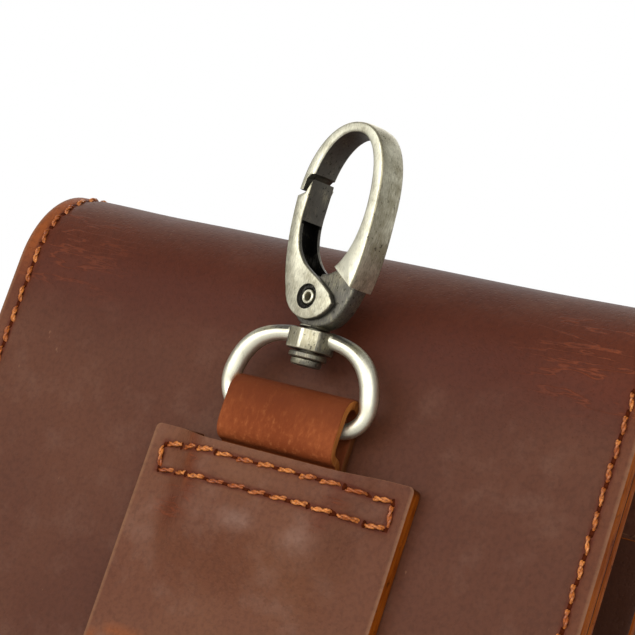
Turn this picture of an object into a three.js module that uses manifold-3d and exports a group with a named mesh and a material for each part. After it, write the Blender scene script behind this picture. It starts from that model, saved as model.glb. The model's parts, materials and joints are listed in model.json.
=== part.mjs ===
// Belt bag: a small leather pouch with a belt loop and a swivel snap hook on its back.
// Millimetres, +Z up. The back, which lies against the body, faces -Y and the flap faces +Y.
// The origin is the middle of the whole bag's depth and width, on the surface that it stands on.

import * as THREE from 'three';
import { mergeVertices } from 'three/addons/utils/BufferGeometryUtils.js';
import Module from 'manifold-3d';

const wasm = await Module();
wasm.setup();

// Driving dimensions, in millimetres and degrees

const GAP = 0.3; // between pieces that lie against each other
const BAG = { width: 112, height: 165, depth: 30, bendRise: 15.5, cornerRadius: 14 };
const LEATHER = { shell: 2.4, gusset: 2.2, front: 2.2, loop: 2.4, tab: 1.5 };
const FLAP = { bottom: 62, cornerRadius: 20 };
const FRONT = { top: 133, cornerRadius: 4 };
const GUSSET = { flange: 8, bend: 2, fold: 3.5, topAtBack: 147, topAtFront: 132 };
const STUD = { radius: 7, thickness: 2, height: 80, sides: 32 };
const LOOP = { centre: 4.4, width: 45, top: 127.5, bottom: 14, passage: 6.4, slope: 6 };
const BELT = { bottom: 24, bottomFull: 44, topFull: 68, top: 93 }; // heights where the loop bows out
const TAB = { centre: 4.4, width: 20, bottom: 117, fade: 14 };
const FOLD = { pinch: 127.2, hang: 131.4, centre: 134.85, room: 0.55 }; // the tab's fold over the bar
const BAR = { x: 4.7, y: -18.9, z: 133.03 };
const WIRE = { diameter: 2.4, sides: 10, steps: 84 };
const RING = { halfWidth: 12.1, rise: 12.75, squareness: 3, corner: 2.8, lean: 8.5 };
const BOSS = { radius: 3.8, sides: 8, bottom: 10.45, top: 13.6, bore: 1.7, seat: 3 };
const POST = { radius: 1.4, collarRadius: 2.9, collar: 0.9, headRadius: 2.35, head: 1.1 };
const FOOT = { radius: 2.4, height: 0.25 };
const HOOK = { halfWidth: 8.25, widest: 32.7, top: 45.6, bottom: 13.9, thickness: 5, sway: 0.004 };
const SQUARENESS = { upper: 2.2, lower: 2.1, eyeLower: 2 };
const SWIVEL = 15.5; // how far the hook is turned from facing straight back
const EYE = { halfWidth: 6.2, top: 44, bottom: 22.2 };
const RIVET = { p: -0.98, q: 18.34, radius: 1.1, bore: 0.6, hole: 1.4, recess: 1.95, recessDepth: 0.45 };
const GATE = { cheek: 0.75, spine: 0.9, solidFrom: 29.6, channelFrom: 19.4, top: 33.3 };
const LOBE = { p: -0.55, q: 20.4, radius: 5.5, start: 19, endAngle: -26.5 };
const TONGUE = { halfThickness: 1.45, radius: 3.4, foot: -3.36 };
const STEP = { atEdge: 17.55, atAxis: 25.4 }; // where the right limb thins, at CLEAR and at the axis
const CLEAR = 12; // well outside the hook's outline
const ROUND = 24; // sides of the hook's pins, holes and turned pieces
const MIDDLE = 7.04; // brings the middle of the whole depth, hook included, to the origin

const FINISH = {
  leather: { color: 0x6a4536, roughness: 0.5, metalness: 0 },
  tabLeather: { color: 0x884828, roughness: 0.75, metalness: 0 },
  gussetLeather: { color: 0x4a2a1c, roughness: 0.65, metalness: 0 },
  brass: { color: 0xa8a48e, roughness: 0.32, metalness: 1 },
  darkBrass: { color: 0x6d6a5e, roughness: 0.4, metalness: 1 },
};

// Places that follow from the driving dimensions

const backFace = -BAG.depth / 2;
const bendCentre = BAG.height - BAG.bendRise;
const flapInside = BAG.depth / 2 - LEATHER.shell;
const frontFace = flapInside - STUD.thickness - 2 * GAP;
const frontInside = frontFace - LEATHER.front;
const gussetBack = backFace + LEATHER.shell + GAP + LEATHER.gusset / 2;
const gussetFront = frontInside - GAP - LEATHER.gusset / 2;
const tabInnerLayer = backFace - GAP - LEATHER.tab / 2;
const tabOuterLayer = tabInnerLayer - LEATHER.tab - GAP;
const tabLift = 2 * LEATHER.tab + 3 * GAP;
const foldRadius = WIRE.diameter / 2 + FOLD.room + LEATHER.tab / 2;
const hookHalf = HOOK.thickness / 2;
const pastFaces = hookHalf + 1;

// Axes for extrusions: a shape drawn in (y, z) runs along +X, one drawn in (x, z) along -Y
const ALONG_X = new THREE.Matrix4().makeBasis(
  new THREE.Vector3(0, 1, 0), new THREE.Vector3(0, 0, 1), new THREE.Vector3(1, 0, 0));
const TOWARD_BACK = new THREE.Matrix4().makeBasis(
  new THREE.Vector3(1, 0, 0), new THREE.Vector3(0, 0, 1), new THREE.Vector3(0, -1, 0));

// Solids and cuts

function closedMesh(geometry) {
  geometry.deleteAttribute('normal');
  geometry.deleteAttribute('uv');
  return mergeVertices(geometry, 1e-4);
}

function solidOf(geometry) {
  const merged = closedMesh(geometry);
  return new wasm.Manifold(new wasm.Mesh({
    numProp: 3,
    vertProperties: new Float32Array(merged.attributes.position.array),
    triVerts: new Uint32Array(merged.index.array),
  }));
}

function geometryOf(solid) {
  const mesh = solid.getMesh();
  const geometry = new THREE.BufferGeometry();
  geometry.setAttribute('position', new THREE.BufferAttribute(mesh.vertProperties, 3));
  geometry.setIndex(new THREE.BufferAttribute(mesh.triVerts, 1));
  geometry.computeVertexNormals();
  return geometry;
}

function extruded(shape, depth, axes, options = {}) {
  const geometry = new THREE.ExtrudeGeometry(shape, { depth, bevelEnabled: false, ...options });
  return geometry.applyMatrix4(axes);
}

// A plate drawn in (x, z), from the depth `from` to the depth `to` measured toward the back
function plate(shape, from, to) {
  return solidOf(extruded(shape, to - from, TOWARD_BACK).translate(0, -from, 0));
}

// A pin on the rivet's axis
function rivetPin(radius, from, to) {
  const pin = new THREE.CylinderGeometry(radius, radius, to - from, ROUND);
  return solidOf(pin.translate(RIVET.p, -(from + to) / 2, RIVET.q));
}

// A strip of even thickness along a line of points, as a closed outline
function ribbon(points, thickness) {
  const left = [];
  const right = [];
  points.forEach((point, i) => {
    const before = points[Math.max(i - 1, 0)];
    const after = points[Math.min(i + 1, points.length - 1)];
    const along = after.clone().sub(before).normalize();
    const across = new THREE.Vector2(-along.y, along.x).multiplyScalar(thickness / 2);
    left.push(point.clone().add(across));
    right.unshift(point.clone().sub(across));
  });
  return new THREE.Shape([...left, ...right].reverse());
}

// A leather sheet of columns by rows cells: place gives each corner its position, by its column,
// its row and its side of the sheet, 0 or 1
function leatherSheet(columns, rows, place) {
  const geometry = new THREE.BoxGeometry(1, 1, 1, columns, rows, 1);
  const position = geometry.attributes.position;
  for (let i = 0; i < position.count; i += 1) {
    const column = Math.round((position.getX(i) + 0.5) * columns);
    const row = Math.round((position.getY(i) + 0.5) * rows);
    const side = Math.round(position.getZ(i) + 0.5);
    const p = place(column, row, side);
    position.setXYZ(i, p.x, p.y, p.z);
  }
  const sheet = closedMesh(geometry);
  sheet.computeVertexNormals();
  return sheet;
}

function panelOutline(halfWidth, bottom, top, bottomRadius, topRadius) {
  const shape = new THREE.Shape();
  shape.moveTo(-halfWidth + bottomRadius, bottom);
  shape.lineTo(halfWidth - bottomRadius, bottom);
  shape.absarc(halfWidth - bottomRadius, bottom + bottomRadius, bottomRadius, -Math.PI / 2, 0, false);
  shape.lineTo(halfWidth, top - topRadius);
  shape.absarc(halfWidth - topRadius, top - topRadius, topRadius, 0, Math.PI / 2, false);
  shape.lineTo(-halfWidth + topRadius, top);
  shape.absarc(-halfWidth + topRadius, top - topRadius, topRadius, Math.PI / 2, Math.PI, false);
  shape.lineTo(-halfWidth, bottom + bottomRadius);
  shape.absarc(-halfWidth + bottomRadius, bottom + bottomRadius, bottomRadius, Math.PI, 1.5 * Math.PI, false);
  return shape;
}

const smooth = THREE.MathUtils.smoothstep;

// The pouch

// One piece of leather: up the back, over the bend and down the front as the flap
function backFlapPanel() {
  const half = LEATHER.shell / 2;
  const line = new THREE.Path();
  line.moveTo(backFace + half, 0);
  line.lineTo(backFace + half, bendCentre);
  line.absellipse(0, bendCentre, BAG.depth / 2 - half, BAG.bendRise - half, Math.PI, 0, true);
  line.lineTo(BAG.depth / 2 - half, FLAP.bottom);
  const bendSteps = 14;
  const profile = ribbon(line.getPoints(bendSteps), LEATHER.shell);
  const strip = solidOf(extruded(profile, BAG.width, ALONG_X).translate(-BAG.width / 2, 0, 0));
  const halfWidth = BAG.width / 2;
  const above = BAG.height + GAP;
  const backOutline = panelOutline(halfWidth, 0, above, BAG.cornerRadius, GAP);
  const flapOutline = panelOutline(halfWidth, FLAP.bottom, above, FLAP.cornerRadius, GAP);
  const back = plate(backOutline, 0, BAG.depth);
  const flap = plate(flapOutline, -BAG.depth, 0);
  return geometryOf(strip.intersect(back.add(flap)));
}

function frontPanel() {
  const outline = panelOutline(BAG.width / 2, 0, FRONT.top, BAG.cornerRadius, FRONT.cornerRadius);
  return geometryOf(plate(outline, -frontFace, -frontInside));
}

// The strip round the sides and the bottom: a flange at the back, a wall folded inward and a
// flange at the front, carried down one side, round the two bottom corners and up the other
function gusset() {
  const wall = GUSSET.flange;
  const across = new THREE.Path();
  across.moveTo(gussetBack, 0);
  across.lineTo(gussetBack, wall - GUSSET.bend);
  across.quadraticCurveTo(gussetBack, wall, gussetBack + GUSSET.bend, wall);
  const middle = (gussetBack + gussetFront) / 2;
  across.quadraticCurveTo(middle, wall + 2 * GUSSET.fold, gussetFront - GUSSET.bend, wall);
  across.quadraticCurveTo(gussetFront, wall, gussetFront, wall - GUSSET.bend);
  across.lineTo(gussetFront, 0);
  const curveSteps = 5;
  const profile = across.getPoints(curveSteps);

  const cornerSteps = 7;
  const halfWidth = BAG.width / 2;
  const radius = BAG.cornerRadius;
  const stations = [{ x: -halfWidth, inward: [1, 0], top: true }];
  for (const side of [-1, 1]) {
    for (let k = 0; k <= cornerSteps; k += 1) {
      const turn = (side < 0 ? k : cornerSteps - k) / cornerSteps * Math.PI / 2;
      const out = [side * Math.cos(turn), -Math.sin(turn)];
      stations.push({
        x: side * (halfWidth - radius) + radius * out[0],
        z: radius + radius * out[1],
        inward: [-out[0], -out[1]],
      });
    }
  }
  stations.push({ x: halfWidth, inward: [-1, 0], top: true });

  const topAt = (y) => THREE.MathUtils.mapLinear(
    y, gussetBack, gussetFront, GUSSET.topAtBack, GUSSET.topAtFront);
  return leatherSheet(profile.length - 1, stations.length - 1, (column, row, side) => {
    const before = profile[Math.max(column - 1, 0)];
    const after = profile[Math.min(column + 1, profile.length - 1)];
    const along = after.clone().sub(before).normalize();
    const offset = (side - 0.5) * LEATHER.gusset;
    const y = profile[column].x + along.y * offset;
    const inset = profile[column].y - along.x * offset;
    const station = stations[row];
    const z = station.top ? topAt(y) : station.z + station.inward[1] * inset;
    return new THREE.Vector3(station.x + station.inward[0] * inset, y, z);
  });
}

function flapStud() {
  const middle = frontFace + GAP + STUD.thickness / 2;
  const stud = new THREE.CylinderGeometry(STUD.radius, STUD.radius, STUD.thickness, STUD.sides);
  return stud.translate(0, middle, STUD.height);
}

// The belt loop: flat at its sewn top, lifted over the tab and bowed out below for the belt
function beltLoop() {
  const columns = 18;
  const rows = 30;
  return leatherSheet(columns, rows, (column, row, side) => {
    const x = LOOP.centre + (column / columns - 0.5) * LOOP.width;
    const z = LOOP.bottom + row / rows * (LOOP.top - LOOP.bottom);
    const beside = Math.abs(x - TAB.centre) - TAB.width / 2 - GAP;
    const overTab = (1 - smooth(beside, 0, LOOP.slope)) * smooth(z, TAB.bottom - TAB.fade, TAB.bottom - GAP);
    const belt = smooth(z, BELT.bottom, BELT.bottomFull) * (1 - smooth(z, BELT.topFull, BELT.top));
    const lift = overTab * tabLift + (1 - overTab) * belt * LOOP.passage;
    return new THREE.Vector3(x, backFace - GAP - lift - side * LEATHER.loop, z);
  });
}

// The strip folded over the ring's bar, its two layers hanging straight to a pinch above the loop
// and running down under it
function hookTab() {
  const innerStart = BAR.y + foldRadius;
  const outerEnd = BAR.y - foldRadius;
  const middle = (FOLD.pinch + FOLD.hang) / 2;
  const line = new THREE.Path();
  line.moveTo(tabInnerLayer, TAB.bottom);
  line.lineTo(tabInnerLayer, FOLD.pinch);
  line.bezierCurveTo(tabInnerLayer, middle, innerStart, middle, innerStart, FOLD.hang);
  line.lineTo(innerStart, FOLD.centre);
  line.absarc(BAR.y, FOLD.centre, foldRadius, 0, Math.PI, false);
  line.lineTo(outerEnd, FOLD.hang);
  line.bezierCurveTo(outerEnd, middle, tabOuterLayer, middle, tabOuterLayer, FOLD.pinch);
  line.lineTo(tabOuterLayer, TAB.bottom);
  const foldSteps = 8;
  const profile = ribbon(line.getPoints(foldSteps), LEATHER.tab);
  const start = TAB.centre - TAB.width / 2;
  return closedMesh(extruded(profile, TAB.width, ALONG_X).translate(start, 0, 0));
}

// The hook and its ring. Both are drawn standing straight up from the bar's middle, in (x, z).

class FlatCurve extends THREE.Curve {
  constructor(path) {
    super();
    this.path = path;
  }

  getPoint(t, target = new THREE.Vector3()) {
    const p = this.path.getPoint(t);
    return target.set(p.x, 0, p.y);
  }
}

function dRing() {
  const { halfWidth, rise, corner, squareness } = RING;
  const startAngle = Math.asin((corner / rise) ** (squareness / 2));
  const arch = [];
  const archSteps = 20;
  for (let k = 0; k <= archSteps; k += 1) {
    const angle = startAngle + (Math.PI - 2 * startAngle) * k / archSteps;
    const c = Math.cos(angle);
    const x = halfWidth * Math.sign(c) * Math.abs(c) ** (2 / squareness);
    arch.push(new THREE.Vector2(x, rise * Math.sin(angle) ** (2 / squareness)));
  }
  const legX = arch[0].x;
  const line = new THREE.Path();
  line.moveTo(0, 0);
  line.lineTo(legX - corner, 0);
  line.absarc(legX - corner, corner, corner, -Math.PI / 2, 0, false);
  line.splineThru(arch.slice(1));
  line.absarc(corner - legX, corner, corner, Math.PI, 1.5 * Math.PI, false);
  line.lineTo(0, 0);
  const loop = new FlatCurve(line);
  const wire = solidOf(new THREE.TubeGeometry(loop, WIRE.steps, WIRE.diameter / 2, WIRE.sides, true));
  const upright = (radius, sides, from, to) => {
    const post = new THREE.CylinderGeometry(radius, radius, to - from, sides);
    return solidOf(post.rotateX(Math.PI / 2).translate(0, 0, (from + to) / 2));
  };
  const pastWire = RING.rise + WIRE.diameter;
  const block = upright(BOSS.radius, BOSS.sides, BOSS.bottom, BOSS.top);
  const bore = upright(BOSS.bore, ROUND, BOSS.bottom - GAP, pastWire);
  const seat = upright(BOSS.seat, ROUND, BOSS.top, pastWire);
  return geometryOf(wire.add(block).subtract(bore).subtract(seat));
}

// An upright oval of two half superellipses that meet at the hook's widest height, its top
// swayed a little away from the gate
function oval(halfWidth, top, bottom, lowerSquareness) {
  const steps = 64;
  const points = [];
  for (let k = 0; k < steps; k += 1) {
    const angle = k / steps * 2 * Math.PI;
    const c = Math.cos(angle);
    const s = Math.sin(angle);
    const power = 2 / (s > 0 ? SQUARENESS.upper : lowerSquareness);
    const reach = s > 0 ? top - HOOK.widest : HOOK.widest - bottom;
    const rise = reach * Math.sign(s) * Math.abs(s) ** power;
    const sway = HOOK.sway * Math.max(rise, 0) ** 2;
    const p = halfWidth * Math.sign(c) * Math.abs(c) ** power + sway;
    points.push(new THREE.Vector2(p, HOOK.widest + rise));
  }
  return points;
}

function hookEdgeAt(q, inset = 0) {
  const above = q > HOOK.widest;
  const n = above ? SQUARENESS.upper : SQUARENESS.lower;
  const reach = above ? HOOK.top - HOOK.widest : HOOK.widest - HOOK.bottom;
  const share = Math.abs(q - HOOK.widest) / reach;
  return HOOK.halfWidth * (1 - share ** n) ** (1 / n) - inset;
}

// The stepped joint between the nose and the gate, from the outside inward
const noseStep = [
  new THREE.Vector2(-CLEAR, 34.3),
  new THREE.Vector2(-7.3, 34.3),
  new THREE.Vector2(-7.05, 36.1),
  new THREE.Vector2(-6.5, 36.75),
  new THREE.Vector2(-5.2, 37.05),
];

function bothFaces(shape, inside, outside) {
  return plate(shape, inside, outside).add(plate(shape, -outside, -inside));
}

function hookBody() {
  const edge = 0.35;
  const outline = new THREE.Shape(oval(HOOK.halfWidth, HOOK.top, HOOK.bottom, SQUARENESS.lower));
  outline.holes.push(new THREE.Path(oval(EYE.halfWidth, EYE.top, EYE.bottom, SQUARENESS.eyeLower)));
  const bevel = {
    bevelEnabled: true, bevelThickness: edge, bevelSize: edge, bevelOffset: -edge, bevelSegments: 1,
  };
  const depth = HOOK.thickness - 2 * edge;
  const frame = solidOf(extruded(outline, depth, TOWARD_BACK, bevel).translate(0, depth / 2, 0));

  // the gate's room: the left limb, up to the tongue round the rivet
  const bay = plate(new THREE.Shape([
    ...noseStep,
    new THREE.Vector2(0, noseStep.at(-1).y),
    new THREE.Vector2(0, EYE.bottom),
    new THREE.Vector2(RIVET.p, RIVET.q),
    new THREE.Vector2(TONGUE.foot, RIVET.q - TONGUE.radius),
    new THREE.Vector2(TONGUE.foot, 0),
    new THREE.Vector2(-CLEAR, 0),
  ].reverse()), -pastFaces, pastFaces);
  const tongueRound = rivetPin(TONGUE.radius, -pastFaces, pastFaces);

  // the base is thinned to a tongue below a slanting step on the right limb
  const below = new THREE.Shape([
    new THREE.Vector2(-CLEAR, 0),
    new THREE.Vector2(CLEAR, 0),
    new THREE.Vector2(CLEAR, STEP.atEdge),
    new THREE.Vector2(0, STEP.atAxis),
    new THREE.Vector2(-CLEAR, STEP.atAxis),
  ]);
  const recess = bothFaces(below, TONGUE.halfThickness, pastFaces);
  const hole = rivetPin(RIVET.hole, -pastFaces, pastFaces);

  const collarTop = BOSS.bottom - GAP;
  const collarBottom = collarTop - POST.collar;
  const headBottom = collarBottom - POST.head;
  const footTop = HOOK.bottom + FOOT.height;
  const post = new THREE.LatheGeometry([
    new THREE.Vector2(0, headBottom),
    new THREE.Vector2(POST.headRadius - GAP, headBottom),
    new THREE.Vector2(POST.headRadius, headBottom + GAP),
    new THREE.Vector2(POST.headRadius, collarBottom),
    new THREE.Vector2(POST.collarRadius, collarBottom),
    new THREE.Vector2(POST.collarRadius, collarTop),
    new THREE.Vector2(POST.radius, collarTop),
    new THREE.Vector2(POST.radius, HOOK.bottom),
    new THREE.Vector2(FOOT.radius, HOOK.bottom),
    new THREE.Vector2(FOOT.radius, footTop),
    new THREE.Vector2(POST.radius, footTop + FOOT.height),
    new THREE.Vector2(0, footTop + FOOT.height),
  ], ROUND);
  const stem = solidOf(post.rotateX(Math.PI / 2));
  return geometryOf(frame.subtract(bay.subtract(tongueRound)).subtract(recess).subtract(hole).add(stem));
}

// The gate's eye side, from the lobe's corner up, and then its tooth under the nose
const gateInside = [
  new THREE.Vector2(3.4, 19.35),
  new THREE.Vector2(1.1, 20.85),
  new THREE.Vector2(-3.1, 23.2),
  new THREE.Vector2(-4.5, 24.6),
  new THREE.Vector2(-5.4, 26.1),
  new THREE.Vector2(-5.95, 28.1),
  new THREE.Vector2(-6.15, 30.2),
  new THREE.Vector2(-6.05, 32.3),
];
const gateTooth = [
  new THREE.Vector2(-5.8, 36.05),
  new THREE.Vector2(-6.1, 35.5),
  new THREE.Vector2(-6.85, 33.95),
];

function gateOutline() {
  const shape = new THREE.Shape();
  shape.moveTo(gateTooth.at(-1).x, gateTooth.at(-1).y);
  const edgeSteps = 14;
  for (let k = 0; k <= edgeSteps; k += 1) {
    const q = THREE.MathUtils.lerp(GATE.top, LOBE.start, k / edgeSteps);
    shape.lineTo(-hookEdgeAt(q), q);
  }
  const startAngle = Math.atan2(LOBE.start - LOBE.q, -hookEdgeAt(LOBE.start) - LOBE.p);
  const endAngle = THREE.MathUtils.degToRad(LOBE.endAngle);
  shape.absarc(LOBE.p, LOBE.q, LOBE.radius, startAngle, endAngle, false);
  [...gateInside, ...gateTooth.slice(0, -1)].forEach((point) => shape.lineTo(point.x, point.y));
  return shape;
}

function gate() {
  const channelHalf = hookHalf - GATE.cheek;
  const body = plate(gateOutline(), -hookHalf, hookHalf);
  const wall = [];
  const wallSteps = 8;
  for (let k = 0; k <= wallSteps; k += 1) {
    const q = THREE.MathUtils.lerp(GATE.solidFrom, GATE.channelFrom, k / wallSteps);
    wall.push(new THREE.Vector2(-hookEdgeAt(q, GATE.spine), q));
  }
  const channel = plate(new THREE.Shape([
    new THREE.Vector2(CLEAR, GATE.solidFrom),
    ...wall,
    new THREE.Vector2(-CLEAR, GATE.channelFrom),
    new THREE.Vector2(-CLEAR, 0),
    new THREE.Vector2(CLEAR, 0),
  ]), -channelHalf, channelHalf);
  const hole = rivetPin(RIVET.hole, -pastFaces, pastFaces);
  const sinks = [-1, 1].map((side) => {
    const ends = [side * (hookHalf - RIVET.recessDepth), side * pastFaces].sort((a, b) => a - b);
    return rivetPin(RIVET.recess, ends[0], ends[1]);
  });
  return geometryOf(body.subtract(channel).subtract(hole).subtract(sinks[0]).subtract(sinks[1]));
}

function gateRivet() {
  const half = hookHalf - GAP / 2;
  const tube = new THREE.LatheGeometry([
    new THREE.Vector2(RIVET.bore, -half),
    new THREE.Vector2(RIVET.radius, -half),
    new THREE.Vector2(RIVET.radius, half),
    new THREE.Vector2(RIVET.bore, half),
    new THREE.Vector2(RIVET.bore, -half),
  ], ROUND);
  return closedMesh(tube.translate(RIVET.p, 0, RIVET.q));
}

// The assembly

function piece(name, geometry, finish) {
  const mesh = new THREE.Mesh(geometry, new THREE.MeshStandardMaterial(finish));
  mesh.name = name;
  return mesh;
}

const bag = new THREE.Group();
bag.position.y = MIDDLE;
bag.add(
  piece('back_flap_panel', backFlapPanel(), FINISH.leather),
  piece('front_panel', frontPanel(), FINISH.leather),
  piece('gusset', gusset(), FINISH.gussetLeather),
  piece('flap_stud', flapStud(), FINISH.darkBrass),
  piece('belt_loop', beltLoop(), FINISH.leather),
  piece('hook_tab', hookTab(), FINISH.tabLeather),
);

const ring = new THREE.Group();
ring.position.set(BAR.x, BAR.y, BAR.z);
ring.rotation.x = THREE.MathUtils.degToRad(RING.lean);
ring.add(piece('d_ring', dRing(), FINISH.brass));
bag.add(ring);

const hook = new THREE.Group();
hook.rotation.z = THREE.MathUtils.degToRad(-SWIVEL);
hook.add(
  piece('hook_body', hookBody(), FINISH.brass),
  piece('gate', gate(), FINISH.brass),
  piece('gate_rivet', gateRivet(), FINISH.darkBrass),
);
ring.add(hook);

export default bag;
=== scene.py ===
"""Belt bag: the finish of a small leather pouch with a belt loop and a swivel snap hook."""

import json
import math
import random

import bmesh
import bpy
from mathutils import Matrix, Vector, noise


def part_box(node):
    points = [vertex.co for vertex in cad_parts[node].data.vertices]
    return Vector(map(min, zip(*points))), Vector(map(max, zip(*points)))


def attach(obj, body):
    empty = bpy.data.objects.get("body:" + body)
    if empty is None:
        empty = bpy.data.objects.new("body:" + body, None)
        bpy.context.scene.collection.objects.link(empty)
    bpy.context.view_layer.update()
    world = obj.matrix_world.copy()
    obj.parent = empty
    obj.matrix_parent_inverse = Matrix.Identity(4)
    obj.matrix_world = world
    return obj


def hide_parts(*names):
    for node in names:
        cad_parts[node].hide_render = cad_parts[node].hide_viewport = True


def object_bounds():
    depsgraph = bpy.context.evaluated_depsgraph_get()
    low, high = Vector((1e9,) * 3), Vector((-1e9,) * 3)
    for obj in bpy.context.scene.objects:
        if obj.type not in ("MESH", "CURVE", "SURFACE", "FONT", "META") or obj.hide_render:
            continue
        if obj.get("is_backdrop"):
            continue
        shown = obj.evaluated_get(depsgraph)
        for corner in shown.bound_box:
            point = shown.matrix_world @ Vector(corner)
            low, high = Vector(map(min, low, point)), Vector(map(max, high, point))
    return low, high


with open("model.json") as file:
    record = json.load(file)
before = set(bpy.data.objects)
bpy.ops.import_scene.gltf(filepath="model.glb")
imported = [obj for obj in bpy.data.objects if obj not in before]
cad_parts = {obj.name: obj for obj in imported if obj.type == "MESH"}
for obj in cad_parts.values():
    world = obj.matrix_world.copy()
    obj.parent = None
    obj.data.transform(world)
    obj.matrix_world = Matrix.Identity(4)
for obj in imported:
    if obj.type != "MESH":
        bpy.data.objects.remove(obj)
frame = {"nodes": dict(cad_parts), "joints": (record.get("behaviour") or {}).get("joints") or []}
cad_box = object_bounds()

MM = 0.001

# Sizes in millimetres, in the bag's own axes: x across, y from the back to the flap, z up

shell_low, shell_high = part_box("back_flap_panel")
loop_low, loop_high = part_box("belt_loop")
tab_low, tab_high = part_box("hook_tab")
HALF_WIDTH = shell_high.x / MM
HEIGHT = shell_high.z / MM
HALF_DEPTH = (shell_high.y - shell_low.y) / 2 / MM
DEPTH_MIDDLE = (shell_high.y + shell_low.y) / 2
BACK = -HALF_DEPTH
GAP = 0.3
SHELL = 2.4
BEND_RISE = 15.5
BEND_START = HEIGHT - BEND_RISE
BEND_LENGTH = math.pi * (HALF_DEPTH + BEND_RISE) / 2
BACK_CORNER = 14
FLAP_BOTTOM = 62
FLAP_CORNER = 20
SHELL_LENGTH = BEND_START + BEND_LENGTH + BEND_START - FLAP_BOTTOM

FRONT = 2.2
FRONT_FACE = 10.0
FRONT_TOP = 133
FRONT_CORNER = 4
GUSSET = 2.2
GUSSET_BACK = BACK + SHELL + GAP + GUSSET / 2
GUSSET_FRONT = FRONT_FACE - FRONT - GAP - GUSSET / 2
FLANGE = 8
GUSSET_TOP = (147, 132)

LOOP = 2.4
LOOP_CENTRE = (loop_low.x + loop_high.x) / 2 / MM
LOOP_HALF = (loop_high.x - loop_low.x) / 2 / MM
LOOP_BOTTOM = loop_low.z / MM
LOOP_TOP = loop_high.z / MM
BELT_ROOM = 6.4
BELT_RISE = (24, 44)
BELT_FALL = (68, 93)

TAB = 1.5
TAB_CENTRE = (tab_low.x + tab_high.x) / 2 / MM
TAB_HALF = (tab_high.x - tab_low.x) / 2 / MM
TAB_BOTTOM = tab_low.z / MM
TAB_LIFT = 2 * TAB + 3 * GAP
TAB_FADE = 14
FOLD_PINCH = 125.6
FOLD_HANG = 131
FOLD_CENTRE = 134.85
FOLD_ROOM = 0.55

STITCH = 3.55
SEAM_INSET = 2.7
SEAM_WIDTH = 0.9
SEAM_SINK = 0.28
EDGE_ROUND = 0.45

WIRE = 2.4
HOOK_THICKNESS = 5
HOOK_HALF = HOOK_THICKNESS / 2

# Axes of the three groups of pieces, each in millimetres


def axes_at(origin, across, inward, up):
    turn = Matrix((across, inward, up)).transposed().to_4x4()
    return Matrix.Translation(origin) @ turn @ Matrix.Scale(MM, 4)


joints = {joint["name"]: joint for joint in frame["joints"]}
bar_middle = Vector(joints["ring_swing"]["pos_m"])
hook_up = Vector(joints["hook_swivel"]["axis"]).normalized()
hook_inward = Vector(joints["gate_swing"]["axis"]).normalized()
side = Vector((1, 0, 0))
BAG_AXES = axes_at(Vector((0, DEPTH_MIDDLE, 0)), side, Vector((0, 1, 0)), Vector((0, 0, 1)))
RING_AXES = axes_at(bar_middle, side, hook_up.cross(side), hook_up)
HOOK_AXES = axes_at(bar_middle, hook_inward.cross(hook_up), hook_inward, hook_up)
BAR = BAG_AXES.inverted() @ bar_middle


# Shader nodes


class Value:
    """A socket of a look's nodes. Arithmetic on it adds Math nodes."""

    def __init__(self, look, socket):
        self.look = look
        self.socket = socket

    def __add__(self, other):
        return self.look.math("ADD", self, other)

    def __radd__(self, other):
        return self.look.math("ADD", other, self)

    def __sub__(self, other):
        return self.look.math("SUBTRACT", self, other)

    def __rsub__(self, other):
        return self.look.math("SUBTRACT", other, self)

    def __mul__(self, other):
        return self.look.math("MULTIPLY", self, other)

    def __rmul__(self, other):
        return self.look.math("MULTIPLY", other, self)

    def __abs__(self):
        return self.look.math("ABSOLUTE", self)


class Look:
    """A material and the nodes that feed its shader."""

    def __init__(self, name):
        self.material = bpy.data.materials.new(name)
        self.material.use_nodes = True
        self.tree = self.material.node_tree
        self.shader = self.tree.nodes["Principled BSDF"]

    def node(self, kind, settings=None, inputs=None, output=0):
        made = self.tree.nodes.new(kind)
        for key, value in (settings or {}).items():
            setattr(made, key, value)
        for key, value in (inputs or {}).items():
            self.feed(made.inputs[key], value)
        return Value(self, made.outputs[output])

    def feed(self, socket, value):
        if isinstance(value, Value):
            self.tree.links.new(value.socket, socket)
        else:
            socket.default_value = value

    def set(self, **sockets):
        for name, value in sockets.items():
            self.feed(self.shader.inputs[name.replace("_", " ").title()], value)

    def specular(self, level):
        self.shader.inputs["Specular IOR Level"].default_value = level

    def math(self, operation, *values):
        return self.node("ShaderNodeMath", {"operation": operation}, dict(enumerate(values)))

    def place(self):
        return self.node("ShaderNodeTexCoord", output="Object")

    def flat(self):
        return self.node("ShaderNodeUVMap", {"uv_map": "cut"})

    def mark(self, name, output="Fac"):
        return self.node("ShaderNodeAttribute", {"attribute_name": name}, output=output)

    def stretched(self, vector, scale):
        return self.node("ShaderNodeMapping", None, {"Vector": vector, "Scale": scale})

    def noise(self, vector, scale, detail, roughness):
        inputs = {"Vector": vector, "Scale": scale, "Detail": detail, "Roughness": roughness}
        return self.node("ShaderNodeTexNoise", None, inputs)

    def cells(self, vector, scale):
        return self.node("ShaderNodeTexVoronoi", None, {"Vector": vector, "Scale": scale})

    def ease(self, value, low, high):
        inputs = {"Value": value, "From Min": low, "From Max": high}
        return self.node("ShaderNodeMapRange", {"interpolation_type": "SMOOTHSTEP"}, inputs)

    def mix(self, factor, first, second):
        colours = [value if isinstance(value, Value) else (*value, 1) for value in (first, second)]
        inputs = {0: factor, 6: colours[0], 7: colours[1]}
        return self.node("ShaderNodeMix", {"data_type": "RGBA"}, inputs, 2)

    def bump(self, height, depth, strength):
        inputs = {"Height": height, "Distance": depth, "Strength": strength}
        return self.node("ShaderNodeBump", None, inputs)


# Meshes


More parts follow.
